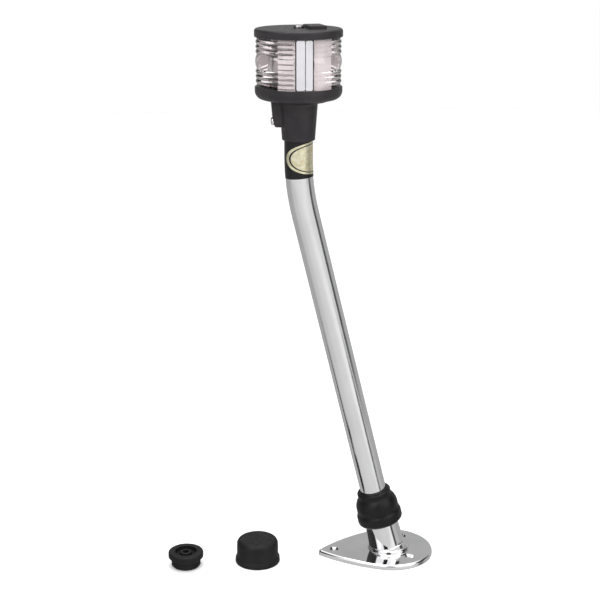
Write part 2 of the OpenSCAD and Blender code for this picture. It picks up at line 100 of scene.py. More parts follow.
def lathe(section, steps=144, start=0.0, sweep=360.0):
    """A closed section of (radius, height) points turned about Z."""
    bm = bmesh.new()
    full = sweep >= 360
    count = steps if full else steps + 1
    rings = []
    for i in range(count):
        a = math.radians(start + sweep * i / steps)
        rings.append([bm.verts.new((r * math.cos(a), r * math.sin(a), z)) for r, z in section])
    for i in range(steps):
        here, there = rings[i], rings[(i + 1) % count]
        for j in range(len(section)):
            k = (j + 1) % len(section)
            bm.faces.new((here[j], there[j], there[k], here[k]))
    if not full:
        bm.faces.new(rings[0][::-1])
        bm.faces.new(rings[-1])
    bmesh.ops.remove_doubles(bm, verts=bm.verts, dist=1e-4)
    bmesh.ops.recalc_face_normals(bm, faces=bm.faces)
    return bm


def loft(rings, capped=True):
    """Skins a list of equal rings of points; the first and last are closed if capped."""
    bm = bmesh.new()
    rows = [[bm.verts.new(p) for p in ring] for ring in rings]
    for low, high in zip(rows, rows[1:]):
        for i in range(len(low)):
            j = (i + 1) % len(low)
            bm.faces.new((low[i], low[j], high[j], high[i]))
    if capped:
        bm.faces.new(rows[0][::-1])
        bm.faces.new(rows[-1])
    bmesh.ops.recalc_face_normals(bm, faces=bm.faces)
    return bm


def slab(outline, low, high, bevel=0.0, segments=3):
    """An outline in XY raised between two heights, with its edges rounded."""
    bm = loft([[(x, y, low) for x, y in outline], [(x, y, high) for x, y in outline]])
    if bevel:
        edges = [e for e in bm.edges if e.calc_face_angle(0) > math.radians(30)]
        bmesh.ops.bevel(bm, geom=edges, offset=bevel, segments=segments, affect="EDGES",
                        profile=0.5, clamp_overlap=True)
    return bm


def round_rect(w, d, r, count=6):
    """Outline of a rectangle with round corners, centred on the origin."""
    corners = ((1, 1, 0), (-1, 1, 90), (-1, -1, 180), (1, -1, 270))
    return [p for sx, sy, a in corners
            for p in arc(sx * (w / 2 - r), sy * (d / 2 - r), r, a, a + 90, count)]


def turned(bm, matrix):
    bm.transform(matrix)
    return bm


def joined(*parts):
    """Several shells as one."""
    whole = bmesh.new()
    for bm in parts:
        mesh = bpy.data.meshes.new("part")
        bm.to_mesh(mesh)
        bm.free()
        whole.from_mesh(mesh)
        bpy.data.meshes.remove(mesh)
    return whole


def holder(bm):
    mesh = bpy.data.meshes.new("operand")
    bm.to_mesh(mesh)
    bm.free()
    ob = bpy.data.objects.new("operand", mesh)
    bpy.context.scene.collection.objects.link(ob)
    return ob


def boolean(base, other, operation):
    """base with other added ("UNION") or cut away ("DIFFERENCE")."""
    a, b = holder(base), holder(other)
    modifier = a.modifiers.new("cut", "BOOLEAN")
    modifier.operation = operation
    modifier.solver = "EXACT"
    modifier.object = b
    graph = bpy.context.evaluated_depsgraph_get()
    mesh = bpy.data.meshes.new_from_object(a.evaluated_get(graph))
    bm = bmesh.new()
    bm.from_mesh(mesh)
    for ob in (a, b):
        old = ob.data
        bpy.data.objects.remove(ob)
        bpy.data.meshes.remove(old)
    bpy.data.meshes.remove(mesh)
    return bm


def piece(name, bm, body, nodes, material, sharp=32):
    """Makes the object, shades it and hangs it on its CAD body in place of those nodes."""
    mesh = bpy.data.meshes.new(name)
    bm.transform(Matrix.Scale(MM, 4))
    bm.to_mesh(mesh)
    bm.free()
    mesh.shade_smooth()
    mesh.set_sharp_from_angle(angle=math.radians(sharp))
    ob = bpy.data.objects.new(name, mesh)
    bpy.context.scene.collection.objects.link(ob)
    ob.data.materials.append(material)
    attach(ob, body)
    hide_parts(*nodes)
    return ob


# ---- materials ----


def new_material(name):
    mat = bpy.data.materials.new(name)
    mat.use_nodes = True
    nodes, links = mat.node_tree.nodes, mat.node_tree.links
    shader = nodes["Principled BSDF"]
    place = nodes.new("ShaderNodeTexCoord")
    return mat, nodes, links, shader, place.outputs["Object"]


def noise(nodes, links, place, scale, detail=3.0, stretch=None):
    node = nodes.new("ShaderNodeTexNoise")
    node.inputs["Scale"].default_value = scale
    node.inputs["Detail"].default_value = detail
    if stretch is None:
        links.new(place, node.inputs["Vector"])
    else:
        mapping = nodes.new("ShaderNodeMapping")
        mapping.inputs["Scale"].default_value = stretch
        links.new(place, mapping.inputs["Vector"])
        links.new(mapping.outputs["Vector"], node.inputs["Vector"])
    return node.outputs["Fac"]


def remap(nodes, links, value, low, high, from_low=0.35, from_high=0.65):
    node = nodes.new("ShaderNodeMapRange")
    node.inputs["From Min"].default_value = from_low
    node.inputs["From Max"].default_value = from_high
    node.inputs["To Min"].default_value = low
    node.inputs["To Max"].default_value = high
    links.new(value, node.inputs["Value"])
    return node.outputs["Result"]


def colours(nodes, links, value, first, second, from_low=0.35, from_high=0.65):
    ramp = nodes.new("ShaderNodeValToRGB")
    ramp.color_ramp.elements[0].position = from_low
    ramp.color_ramp.elements[0].color = (*first, 1)
    ramp.color_ramp.elements[1].position = from_high
    ramp.color_ramp.elements[1].color = (*second, 1)
    links.new(value, ramp.inputs["Fac"])
    return ramp.outputs["Color"]


def bump(nodes, links, height, depth, under=None):
    node = nodes.new("ShaderNodeBump")
    node.inputs["Strength"].default_value = 1.0
    node.inputs["Distance"].default_value = depth
    links.new(height, node.inputs["Height"])
    if under is not None:
        links.new(under, node.inputs["Normal"])
    return node.outputs["Normal"]


def metal(name, dull, bright, rough, smear=None, wave=0.0, coarse=35):
    """Polished or plated metal: cloudy polish, fine rubbing marks and a faint wave."""
    mat, nodes, links, shader, place = new_material(name)
    shader.inputs["Metallic"].default_value = 1.0
    cloud = noise(nodes, links, place, coarse, 4)
    links.new(colours(nodes, links, cloud, dull, bright), shader.inputs["Base Color"])
    marks = noise(nodes, links, place, 900, 5, smear or (1, 1, 0.05))
    links.new(remap(nodes, links, marks, rough[0], rough[1]), shader.inputs["Roughness"])
    normal = bump(nodes, links, marks, 2e-6)
    if wave:
        normal = bump(nodes, links, noise(nodes, links, place, 60, 1), wave, normal)
    links.new(normal, shader.inputs["Normal"])
    return mat


def plastic(name, dark, light, rough, grain=1600, depth=2.5e-5, scuff=0.35, specular=0.5):
    """Moulded plastic or rubber: cloudy colour, a fine moulded grain and rubbed patches."""
    mat, nodes, links, shader, place = new_material(name)
    shader.inputs["Specular IOR Level"].default_value = specular
    cloud = noise(nodes, links, place, 70, 5)
    links.new(colours(nodes, links, cloud, dark, light), shader.inputs["Base Color"])
    patches = noise(nodes, links, place, 220, 6)
    links.new(remap(nodes, links, patches, rough[0], rough[1]), shader.inputs["Roughness"])
    skin = noise(nodes, links, place, grain, 3)
    normal = bump(nodes, links, skin, depth)
    normal = bump(nodes, links, patches, depth * scuff, normal)
    links.new(normal, shader.inputs["Normal"])
    return mat


def clear(name, tint, ior, rough, through, wave=0.0):
    """Clear plastic or glass. Lamps shine through it, so that what is inside is lit."""
    mat, nodes, links, shader, place = new_material(name)
    shader.inputs["Base Color"].default_value = (*tint, 1)
    shader.inputs["IOR"].default_value = ior
    shader.inputs["Transmission Weight"].default_value = 1.0
    smears = noise(nodes, links, place, 160, 5)
    links.new(remap(nodes, links, smears, rough[0], rough[1]), shader.inputs["Roughness"])
    if wave:
        links.new(bump(nodes, links, noise(nodes, links, place, 140, 2), wave),
                  shader.inputs["Normal"])
    path = nodes.new("ShaderNodeLightPath")
    open_way = nodes.new("ShaderNodeBsdfTransparent")
    open_way.inputs["Color"].default_value = (*through, 1)
    mix = nodes.new("ShaderNodeMixShader")
    links.new(path.outputs["Is Shadow Ray"], mix.inputs["Fac"])
    links.new(shader.outputs["BSDF"], mix.inputs[1])
    links.new(open_way.outputs["BSDF"], mix.inputs[2])
    links.new(mix.outputs["Shader"], nodes["Material Output"].inputs["Surface"])
    return mat


CHROME = metal("chrome_plate", (0.80, 0.80, 0.81), (0.87, 0.87, 0.88), (0.03, 0.07), wave=1.2e-5)
TUBE = metal("polished_tube", (0.82, 0.82, 0.83), (0.87, 0.87, 0.88), (0.10, 0.17),
             smear=(1, 1, 0.03))
SCREW = metal("bright_screw", (0.75, 0.75, 0.76), (0.85, 0.85, 0.86), (0.12, 0.22),
              smear=(1, 1, 1))
DULL_SCREW = metal("dull_screw", (0.22, 0.21, 0.22), (0.40, 0.39, 0.40), (0.12, 0.30),
                   smear=(1, 1, 1), coarse=500)
BRASS = metal("brass", (0.68, 0.47, 0.20), (0.80, 0.60, 0.30), (0.18, 0.32), smear=(1, 1, 1))
DULL_BRASS = metal("dull_brass", (0.22, 0.18, 0.12), (0.32, 0.26, 0.17), (0.25, 0.4),
                   smear=(1, 1, 1))
TUNGSTEN = metal("tungsten", (0.30, 0.30, 0.31), (0.42, 0.42, 0.43), (0.3, 0.45))
FOIL = metal("gold_foil", (0.80, 0.72, 0.46), (1.0, 0.97, 0.74), (0.20, 0.34),
             smear=(0.2, 0.2, 3), coarse=300)
CHARCOAL = plastic("charcoal_plastic", (0.019, 0.017, 0.019), (0.028, 0.025, 0.027),
                   (0.34, 0.48), depth=1.5e-5, specular=0.3)
COLLAR = plastic("collar_plastic", (0.005, 0.005, 0.005), (0.008, 0.007, 0.008), (0.36, 0.42),
                 depth=5e-6, scuff=0.1, specular=0.22)
HOLDER = plastic("holder_plastic", (0.010, 0.010, 0.011), (0.016, 0.016, 0.017), (0.4, 0.5))
RUBBER = plastic("moulded_rubber", (0.006, 0.006, 0.007), (0.011, 0.011, 0.012), (0.42, 0.6),
                 grain=1100, depth=2.5e-5, specular=0.2)
SEAL = plastic("seal_rubber", (0.02, 0.02, 0.02), (0.03, 0.03, 0.03), (0.5, 0.6))
WHITE = plastic("white_plastic", (0.84, 0.83, 0.83), (0.90, 0.89, 0.89), (0.25, 0.35),
                grain=900, depth=1e-5)
STRIP = plastic("strip_plastic", (0.55, 0.54, 0.57), (0.61, 0.60, 0.62), (0.3, 0.4),
                grain=900, depth=1e-5, specular=0.3)
FILM = plastic("black_film", (0.005, 0.005, 0.005), (0.009, 0.009, 0.009), (0.24, 0.36),
               grain=500, depth=1e-5, specular=0.3)
LENS = clear("lens_plastic", (0.95, 0.905, 0.91), 1.49, (0.01, 0.05), (0.95, 0.92, 0.92))
GLASS = clear("bulb_glass", (0.97, 0.98, 0.98), 1.5, (0.0, 0.03), (0.96, 0.97, 0.97))
WIRE_RED = plastic("red_insulation", (0.42, 0.03, 0.02), (0.52, 0.05, 0.04), (0.4, 0.5))
WIRE_GREEN = plastic("green_insulation", (0.03, 0.25, 0.06), (0.05, 0.32, 0.09), (0.4, 0.5))
WIRE_BLACK = plastic("black_insulation", (0.015, 0.015, 0.015), (0.025, 0.025, 0.025), (0.4, 0.5))

HIDDEN_NODES = {
    "deck_seal": SEAL, "contact_block": HOLDER, "contact_pins": BRASS, "pole_plug": HOLDER,
    "plug_contacts": BRASS, "wire_fore": WIRE_RED, "wire_aft": WIRE_GREEN,
    "wire_common": WIRE_BLACK, "wire_link": WIRE_BLACK, "gland_seal": SEAL,
    "screw_insert": BRASS, "cap_gasket": SEAL,
}
for node_name, node_material in HIDDEN_NODES.items():
    for material_slot in NODES[node_name].material_slots:
        material_slot.material = node_material


# ---- base ----

PLATE_R = base_high.y
PLATE_X = base_high.x - PLATE_R
TIP_X = base_low.x
TIP_R = 3.6
FLANK_START = math.radians(110)
EDGE_R = 2.4


def flank():
    """Centre, radius and last angle of the flank's arc, tangent to the round end and the tip."""
    normal = Vector((math.cos(FLANK_START), math.sin(FLANK_START)))
    start = Vector((PLATE_X, 0)) + PLATE_R * normal
    tip = Vector((TIP_X + TIP_R, 0))
    across = tip - start
    r = (TIP_R ** 2 - across.dot(across)) / (2 * (across.dot(normal) + TIP_R))
    centre = start - r * normal
    return centre, r, math.atan2(-centre.y, tip.x - centre.x)


FLANK_C, FLANK_R, FLANK_END = flank()


def plate_outline(inset, z):
    start, end = math.degrees(FLANK_START), math.degrees(FLANK_END)
    side = arc(*FLANK_C, FLANK_R - inset, start + 0.8, end, 24)
    points = arc(PLATE_X, 0, PLATE_R - inset, -start, start, 120) + side
    points += arc(TIP_X + TIP_R, 0, TIP_R - inset, end + 5, 355 - end, 14)
    points += [(x, -y) for x, y in reversed(side)]
    return [(x, y, z) for x, y in points]


def casting():
    edge = [(0.4 + x, y) for x, y in arc(0, 0.4, 0.4, 270, 180, 4)]
    edge += [(EDGE_R - x, y) for x, y in arc(0, BASE_T - EDGE_R, EDGE_R, 0, 90, 10)]
    edge += [(EDGE_R + 0.6, BASE_T)]
    plate = loft([plate_outline(inset, z) for inset, z in edge])
    boss_r, boss_top, neck_r, neck_top = 19.8, 9.0, 14.8, 58
    foot_r, top_r, shoulder = 17.4, 16.2, 35.2
    boss = lathe([(0, 1), (boss_r + 1.8, 1)]
                 + arc(boss_r + 1.6, BASE_T + 1.55, 1.6, -83, -180, 8)
                 + arc(boss_r - 1.4, boss_top - 1.4, 1.4, 0, 90, 8)
                 + [(boss_r - 2.0, boss_top), (0, boss_top)])
    socket = lathe([(0, BASE_T + 1.0), (foot_r + 1.6, BASE_T + 1.0)]
                   + arc(foot_r + 1.3, 11.6, 1.5, -120, -178, 8)
                   + [(foot_r - 0.5, 18), (top_r, shoulder - 3.2)]
                   + arc(top_r - 0.8, shoulder - 0.8, 0.8, 0, 90, 6)
                   + [(neck_r, shoulder), (neck_r, neck_top - 1), (neck_r - 1, neck_top),
                      (0, neck_top)])
    whole = boolean(plate, boss, "UNION")
    whole = boolean(whole, turned(socket, RAKED), "UNION")
    bore = turned(lathe([(0, -10), (POLE_R + 0.05, -10), (POLE_R + 0.05, 80), (0, 80)]), RAKED)
    whole = boolean(whole, bore, "DIFFERENCE")
    groove = lathe([(15.5, -1), (20.5, -1), (20.5, 1.5), (15.5, 1.5)])
    whole = boolean(whole, groove, "DIFFERENCE")
    hole_r, sink_r = 2.4, 4.5
    sink = sink_r - hole_r
    for x, y in ((-54.5, 0), (16.5, 22), (16.5, -22)):
        cutter = lathe([(0, -1), (hole_r, -1), (hole_r, BASE_T - sink), (sink_r, BASE_T),
                        (sink_r + 1, BASE_T + 1), (0, BASE_T + 1)], 64)
        whole = boolean(whole, turned(cutter, Matrix.Translation((x, y, 0))), "DIFFERENCE")
    return whole


piece("casting", casting(), "base", ["base_casting", "socket_casting"], CHROME, 28)


# ---- pole ----

TANGENT_Z = -HEAD_X / math.tan(RAKE)
TANGENT_LEN = BEND_R * math.tan(RAKE / 2)
BEND_START = TANGENT_Z / math.cos(RAKE) - TANGENT_LEN
BEND_END_Z = TANGENT_Z + TANGENT_LEN


def pole_frame(u):
    """Place on the pole's centreline, u above the bend's end, with the way aft and the way up."""
    if u >= 0:
        return Vector((HEAD_X, 0, BEND_END_Z + u)), Vector((1, 0, 0))
    bend = min(-u / BEND_R, RAKE)
    aft = Vector((math.cos(bend), 0, math.sin(bend)))
    centre = Vector((HEAD_X + BEND_R, 0, BEND_END_Z))
    below = max(-u - BEND_R * RAKE, 0)
    up = Vector((-math.sin(bend), 0, math.cos(bend)))
    return centre - BEND_R * aft - below * up, aft


def pole_ring(u, r, sides=96):
    middle, aft = pole_frame(u)
    side = Vector((0, 1, 0))
    turns = (2 * math.pi * i / sides for i in range(sides))
    return [middle + r * (math.cos(a) * aft + math.sin(a) * side) for a in turns]


def sleeve(stations, r_in, r_out, round_off=0.0):
    """A tube along the pole between the first and last stations, which are heights u."""
    ends = [(stations[0], r_out - round_off), (stations[0] + round_off, r_out)]
    ends += [(u, r_out) for u in stations[1:-1]]
    ends += [(stations[-1] - round_off, r_out), (stations[-1], r_out - round_off)]
    rings = [pole_ring(u, r) for u, r in ends]
    rings += [pole_ring(u, r_in) for u in reversed(stations)]
    bm = loft(rings + [rings[0]], capped=False)
    bmesh.ops.remove_doubles(bm, verts=bm.verts, dist=1e-5)
    bmesh.ops.recalc_face_normals(bm, faces=bm.faces)
    return bm


def pole():
    bend = BEND_R * RAKE
    low = -(bend + BEND_START - POLE_START)
    stations = [low, low + 1, -bend - 100, -bend - 1]
    stations += [-bend * (1 - i / 24) for i in range(25)]
    stations += [POLE_TOP - BEND_END_Z]
    return sleeve(stations, POLE_BORE_R, POLE_R, 0.3)


BAND_LOW = box_mm("label_band")[0].z - BEND_END_Z - 0.3
BAND_HIGH = NECK_FOOT_Z - BEND_END_Z
BAND_T = 0.25


def band():
    stations = [BAND_LOW + (BAND_HIGH - BAND_LOW) * i / 12 for i in range(13)]
    return sleeve(stations, POLE_R, POLE_R + BAND_T, 0.08)


FOIL_HALF_H = 15.4
FOIL_MID = box_mm("foil_label")[0].z + FOIL_HALF_H - BEND_END_Z
FOIL_SPAN = math.radians(152)


def oval(scale, r, thickness, columns=96, rows=28, hollow=None):
    """An oval skin wrapped round the aft side of the band, or an oval ring if hollow is set."""
    bm = bmesh.new()

    def spot(turn, share, radius):
        a = share * scale * FOIL_SPAN * math.cos(turn)
        middle, aft = pole_frame(FOIL_MID + share * scale * FOIL_HALF_H * math.sin(turn))
        return middle + radius * (math.cos(a) * aft + Vector((0, math.sin(a), 0)))

    shares = [(hollow or 0.0) + (1 - (hollow or 0.0)) * j / rows for j in range(rows + 1)]
    layers = []
    for radius in (r, r + thickness):
        layers.append([[bm.verts.new(spot(2 * math.pi * i / columns, s, radius))
                        for i in range(columns)] for s in shares])
    for layer in layers:
        for inner, outer in zip(layer, layer[1:]):
            for i in range(columns):
                j = (i + 1) % columns
                bm.faces.new((inner[i], inner[j], outer[j], outer[i]))
    for row in ((-1,) if hollow is None else (0, -1)):
        for i in range(columns):
            j = (i + 1) % columns
            bm.faces.new((layers[0][row][i], layers[0][row][j],
                          layers[1][row][j], layers[1][row][i]))
    bmesh.ops.remove_doubles(bm, verts=bm.verts, dist=1e-5)
    bmesh.ops.recalc_face_normals(bm, faces=bm.faces)
    return bm


piece("tube", pole(), "pole", ["pole_tube"], TUBE)
piece("label_sleeve", band(), "pole", ["label_band"], FILM)
FOIL_R = POLE_R + BAND_T + 0.05
piece("foil_oval", oval(1.0, FOIL_R, 0.08), "pole", ["foil_label"], FOIL)
piece("foil_border", oval(0.90, FOIL_R + 0.06, 0.06, rows=2, hollow=0.94), "pole", [], FILM)


# ---- collar ----


def collar():
    start, end = 35.8, 70.3
    skirt, body, ring = 21.9, 20.5, 16.4
    bore, seal_end = 15.1, 63
    shoulder = 14.7
    return turned(lathe(
        [(bore, start)]
        + arc(skirt - 3, start + 3, 3, -90, 0, 12)
        + arc(skirt - 6, start + 7.5, 6, 0, 24, 8)
        + [(body - 0.6, start + 11.6), (body - 0.7, start + 11.9), (body - 0.6, start + 12.4)]
        + arc(body - 0.4, start + 13.0, 0.4, -80, 0, 4)
        + arc(body - shoulder, start + 16.9, shoulder, 0, 43, 14)
        + arc(ring + 0.9, end - 6.2, 1.1, -130, -180, 8)
        + arc(ring - 1, end - 2.6, 1, 0, 90, 8)
        + arc(14.9 - 0.9, end - 0.9, 0.9, 0, 90, 8)
        + arc(POLE_R + 1.3, end - 1.3, 1.3, 90, 160, 6)
        + [(POLE_R + 0.08, end - 2.2), (POLE_R + 0.08, seal_end), (bore, seal_end)]), RAKED)


piece("collar", collar(), "collar", ["collar_nut"], COLLAR)


# ---- head ----


def clamp_boss():
    outline = [(-14, 446.5), (-24.5, 446.5), (-23.4, 434), (-22.3, 426.6)]
    outline += arc(-19.8, 426.6, 2.5, 190, 270, 8) + [(-14, 424.1)]
    side = slab(outline, -6, 6, 0.7)
    return turned(side, Matrix.Rotation(math.pi / 2, 4, "X"))


def dish():
    neck = POLE_R + 0.05
    top = POLE_TOP + 0.1
    floor = LENS_FOOT_Z - 2.5
    shell = lathe(
        [(neck, NECK_FOOT_Z)]
        + arc(14.2, NECK_FOOT_Z + 0.8, 0.8, -90, 0, 6)
        + [(15, NECK_FOOT_Z + 2), (17.1, 442.6)]
        + arc(20.1, 442.9, 3, 180, 92, 8)
        + [(25.5, 446.8), (30.8, 448.6)]
        + arc(RIM_R - 7.4, 456.2, 7.4, -74, 0, 16)
        + arc(RIM_R - 0.5, RIM_Z - 0.5, 0.5, 0, 90, 4)
        + [(37.5, RIM_Z), (37.5, LENS_FOOT_Z - 0.1), (34, LENS_FOOT_Z - 0.1), (34, floor),
           (10, floor), (10, top), (neck, top)])
    boss = boolean(clamp_boss(), lathe([(0, 400), (14, 400), (14, 448), (0, 448)]), "DIFFERENCE")
    whole = boolean(shell, boss, "UNION")
    to_clamp = Matrix.Translation((0, 0, CLAMP_Z)) @ Matrix.Rotation(-math.pi / 2, 4, "Y")
    hole = lathe([(0, 10), (2.05, 10), (2.05, 22.35), (3.9, 22.35), (3.9, 28), (0, 28)], 64)
    whole = boolean(whole, turned(hole, to_clamp), "DIFFERENCE")
    post = lathe([(2.4, floor - 8), (4.2, floor - 8), (4.2, 470), (3.1, 470), (3.1, 462),
                  (2.4, 462)], 64)
    ribs = [turned(slab([(3.6, -1.2), (11, -1.2), (11, 1.2), (3.6, 1.2)], 443, 450),
                   Matrix.Rotation(math.radians(a), 4, "Z")) for a in (30, 150, 270)]
    return turned(joined(whole, post, *ribs), HEAD)


piece("dish_and_neck", dish(), "pole", ["head_base"], CHARCOAL, 30)


def pan_head(r, h, slot_w, crossed):
    """A domed screw head with a slot, or with a cross recess."""
    head = lathe([(0, 0), (r - 0.2, 0), (r, 0.2), (r, h * 0.35)]
                 + arc(r - h * 0.65, h * 0.35, h * 0.65, 0, 84, 10) + [(0, h)], 96)
    arms = (0, 90) if crossed else (0,)
    reach = r * 0.55 if crossed else r + 1
    for a in arms:
        w = slot_w / 2
        bar = slab([(-reach, -w), (reach, -w), (reach, w), (-reach, w)], h * 0.45, h + 1)
        head = boolean(head, turned(bar, Matrix.Rotation(math.radians(a), 4, "Z")), "DIFFERENCE")
    return head


def clamp_screw():
    head = turned(pan_head(3.6, 2.5, 1.1, True), Matrix.Translation((0, 0, 22.4)))
    shank = lathe([(0, POLE_R + 0.1), (1.6, POLE_R + 0.1), (2, POLE_R + 0.5), (2, 22.4),
                   (0, 22.4)], 48)
    to_clamp = HEAD @ Matrix.Translation((0, 0, CLAMP_Z)) @ Matrix.Rotation(-math.pi / 2, 4, "Y")
    return turned(joined(head, shank), to_clamp)


piece("clamp_screw_look", clamp_screw(), "clamp", ["clamp_screw"], SCREW)

VALLEY_R = 36.7
RIB_R = 37.95
RIB_PITCH = 4.3
LENS_EDGE_R = 37.2
LENS_BORE_R = 34.5
LENS_MID_Z = 482.1
BULGE_HALF = 6.4
BULGE_R = 38.3
STRIP_W = {"fore": 7.9, "aft": 6.6}
LENS_GAP = 0.8


def rib(mid, half, top_r, count, foot_r=VALLEY_R):
    """A parabola from foot_r out to top_r and back, upwards, or downwards if half is negative."""
    spots = (2 * i / count - 1 for i in range(count + 1))
    return [(foot_r + (top_r - foot_r) * (1 - t * t), mid + half * t) for t in spots]


def lens(end):
    gap = math.degrees(math.asin((STRIP_W[end] + LENS_GAP) / LENS_EDGE_R))
    first = BULGE_HALF + RIB_PITCH / 2
    half = RIB_PITCH / 2 - 0.02
    section = [(LENS_BORE_R, LENS_FOOT_Z), (LENS_EDGE_R, LENS_FOOT_Z), (LENS_EDGE_R, 461.6)]
    for k in (2, 1, 0):
        section += rib(LENS_MID_Z - first - k * RIB_PITCH, half, RIB_R, 12)
    section += rib(LENS_MID_Z, BULGE_HALF - 0.02, BULGE_R, 20)
    for k in (0, 1, 2):
        section += rib(LENS_MID_Z + first + k * RIB_PITCH, half, RIB_R, 12)
    section += [(LENS_EDGE_R, 502.4), (LENS_EDGE_R, LENS_TOP_Z), (LENS_BORE_R, LENS_TOP_Z)]
    section += rib(LENS_MID_Z, -BULGE_HALF, LENS_BORE_R + 1.4, 20, LENS_BORE_R)
    return lathe(section, 96, gap - 90, 180 - 2 * gap)


REFLECTOR_R = 75
REFLECTOR_BOW = 16.6
REFLECTOR_T = 1.5
WALL_R = LENS_BORE_R - 0.1
PLAIN_WALL_BORE_R = 33


def screen_x(y, inset=0.0):
    return REFLECTOR_BOW - REFLECTOR_R + math.sqrt((REFLECTOR_R - inset) ** 2 - y * y)


def reflector(end):
    """One bowed screen with the webs behind its edge strips."""
    foot = LENS_FOOT_Z
    steps = 40
    reach = 33.4
    ys = [reach * (2 * i / steps - 1) for i in range(steps + 1)]
    outline = [(screen_x(y), y) for y in ys] + [(screen_x(y, REFLECTOR_T), y) for y in reversed(ys)]
    screen = slab(outline, foot, LENS_TOP_Z, 0.25, 2)
    notch = slab([(5, -9), (25, -9), (25, 9), (5, 9)], foot - 1, foot + 4)
    parts = [boolean(screen, notch, "DIFFERENCE")]
    web_x = STRIP_W[end] - 0.9
    web_in_r, web_out_r = 33.0, 37.0
    for side in (-1, 1):
        inner = [(x, side * math.sqrt(web_in_r ** 2 - x * x)) for x in (web_x, 4, 0.35)]
        outer = [(x, side * math.sqrt(web_out_r ** 2 - x * x)) for x in (0.35, 4, web_x)]
        parts.append(slab(inner + outer, foot, LENS_TOP_Z, 0.15, 2))
    return joined(*parts, walls(end))


def comb(r_in, r_out, depth, half_groove):
    """The section of a wall about the head's axis, cut by level grooves."""
    section = [(r_in, LENS_FOOT_Z), (r_out, LENS_FOOT_Z)]
    for k in range(-5, 6):
        z = LENS_MID_Z + k * RIB_PITCH
        section += [(r_out, z - half_groove), (r_out - depth, z - half_groove),
                    (r_out - depth, z + half_groove), (r_out, z + half_groove)]
    return section + [(r_out, LENS_TOP_Z), (r_in, LENS_TOP_Z)]


def walls(end):
    """Walls inside the lens beside both pairs of strips, grooved on the fore side."""
    if end == "fore":
        section = comb(30, WALL_R, 3.6, 0.5)
        past_strip, reach = 0.7, 22
    else:
        section = [(PLAIN_WALL_BORE_R, LENS_FOOT_Z), (WALL_R, LENS_FOOT_Z),
                   (WALL_R, LENS_TOP_Z), (PLAIN_WALL_BORE_R, LENS_TOP_Z)]
        past_strip, reach = -1.4, 24
    first = math.degrees(math.asin((STRIP_W[end] + past_strip) / WALL_R))
    last = math.degrees(math.asin(reach / WALL_R))
    return joined(*(lathe(section, 24, start, last - first)
                    for start in (first - 90, 90 - last)))


def strips(end):
    """The edge strip at each end of the screen, which shows between the lenses."""
    low, high = RIM_Z + 0.35, LID_Z - 0.35
    parts = []
    for side in (-1, 1):
        face = slab(round_rect(STRIP_W[end] - 0.35, high - low, 1.6), 0, 1.7, 0.4, 4)
        middle = STRIP_W[end] / 2 + 0.12
        stand = Matrix.Translation((0, side * 38.35, (low + high) / 2)) @ Matrix.Rotation(
            side * math.pi / 2, 4, "X")
        lean = Matrix.Rotation(-side * math.asin(middle / 38.2), 4, "Z")
        parts.append(turned(face, lean @ stand))
    return joined(*parts)


def lens_gap_shade(end):
    """A thin black strip between the lens's straight edges and the strips: painted shade, standing
    in for the shadow and the dark cut edge in that gap.
    """
    low, high = RIM_Z + 0.35, LID_Z - 0.35
    first = math.degrees(math.asin((STRIP_W[end] + 0.05) / 36.7))
    last = math.degrees(math.asin((STRIP_W[end] + LENS_GAP - 0.05) / LENS_EDGE_R))
    section = [(34.7, low), (37.7, low), (37.7, high), (34.7, high)]
    return joined(*(lathe(section, 2, start, last - first) for start in (first - 90, 90 - last)))


HOLDER_R = 5.4
BULB_R = 4.45
BULB_X = 22.5


def lampholder():
    floor = LENS_FOOT_Z - 2.5
    return lathe([(0, floor), (HOLDER_R + 0.5, floor), (HOLDER_R + 0.5, floor + 4.5)]
                 + arc(HOLDER_R, floor + 5, 0.4, 0, 90, 4)
                 + [(HOLDER_R, floor + 13.4), (HOLDER_R - 0.3, floor + 14),
                    (BULB_R + 0.1, floor + 14), (BULB_R + 0.1, floor + 4), (0, floor + 4)], 96)


def bulb_base():
    foot = LENS_FOOT_Z + 1.7
    shell = lathe([(0, foot), (1.6, foot), (1.6, foot + 0.8)]
                  + arc(BULB_R - 0.8, foot + 1.6, 0.8, -90, 0, 6)
                  + [(BULB_R, foot + 12.2)] + arc(BULB_R - 0.7, foot + 13.1, 0.7, 0, 90, 6)
                  + [(0, foot + 13.8)], 96)
    pins = [turned(lathe([(0, BULB_R - 0.6), (0.45, BULB_R - 0.6), (0.45, BULB_R + 0.05),
                          (0, BULB_R + 0.08)], 20),
                   Matrix.Translation((0, 0, foot + 11)) @ Matrix.Rotation(math.radians(a), 4, "Z")
                   @ Matrix.Rotation(math.pi / 2, 4, "Y")) for a in (70, 250)]
    return joined(shell, *pins)


def bulb_glass():
    outer = [(3.7, 469.0), (3.72, 470.0)] + arc(2.4, 472.4, 2.4, -48, 0, 6)[1:]
    outer += arc(0, 482.6, 4.7, 0, 90, 20)
    inner = arc(0, 482.6, 4.1, 90, 0, 20) + [(4.1, 473.0), (3.2, 470.6), (0, 470.4)]
    return lathe([(0, 469.0)] + outer + inner, 96)


